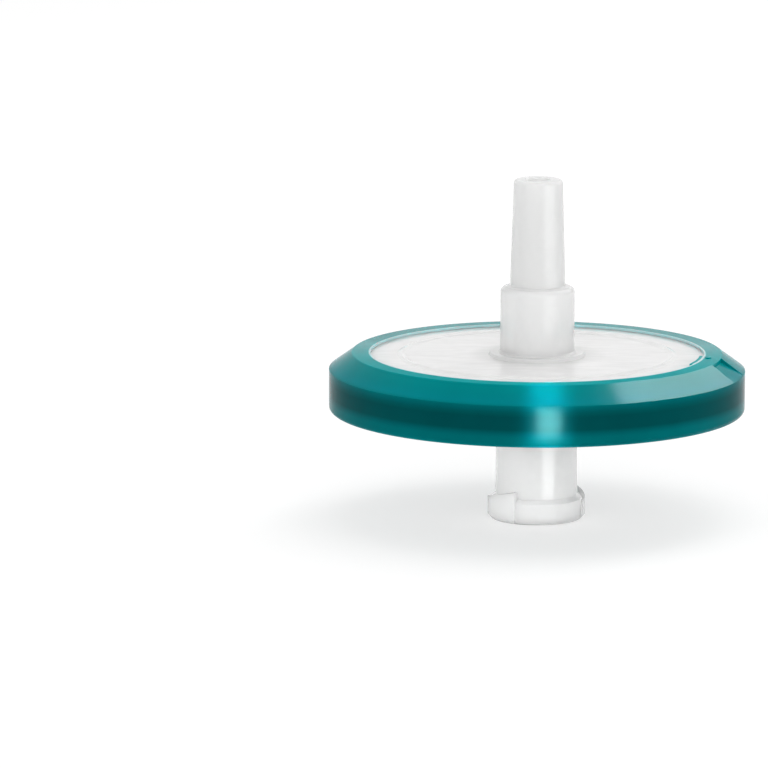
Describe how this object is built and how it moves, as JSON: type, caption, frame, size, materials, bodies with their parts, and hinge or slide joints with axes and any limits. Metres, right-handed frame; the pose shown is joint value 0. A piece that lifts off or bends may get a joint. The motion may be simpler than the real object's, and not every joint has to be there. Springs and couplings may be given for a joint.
{
  "type": "syringe filter",
  "caption": "Disposable disc filter for a syringe: two clear housings clamp a membrane inside an overmoulded sealing ring, with a female Luer lock inlet and a male Luer slip outlet.",
  "frame": {"origin": "centre of the mouth's face of the female Luer lock, on which the filter stands", "axes": "+Z along the filter's axis in the direction of flow, from the female Luer lock to the male Luer slip; +X is the azimuth from which the ring's gate and the lock lugs are counted"},
  "size_m": [0.0334, 0.0334, 0.0275],
  "materials": {
    "clear_polypropylene": "glossy, milky translucent natural polypropylene",
    "membrane": "matt white microporous sheet",
    "teal_ring": "glossy, tinted overmoulded polypropylene"
  },
  "bodies": {
    "root": {"inlet_housing": "clear_polypropylene", "outlet_housing": "clear_polypropylene", "filter_membrane": "membrane", "sealing_ring": "teal_ring"}
  },
  "joints": []
}
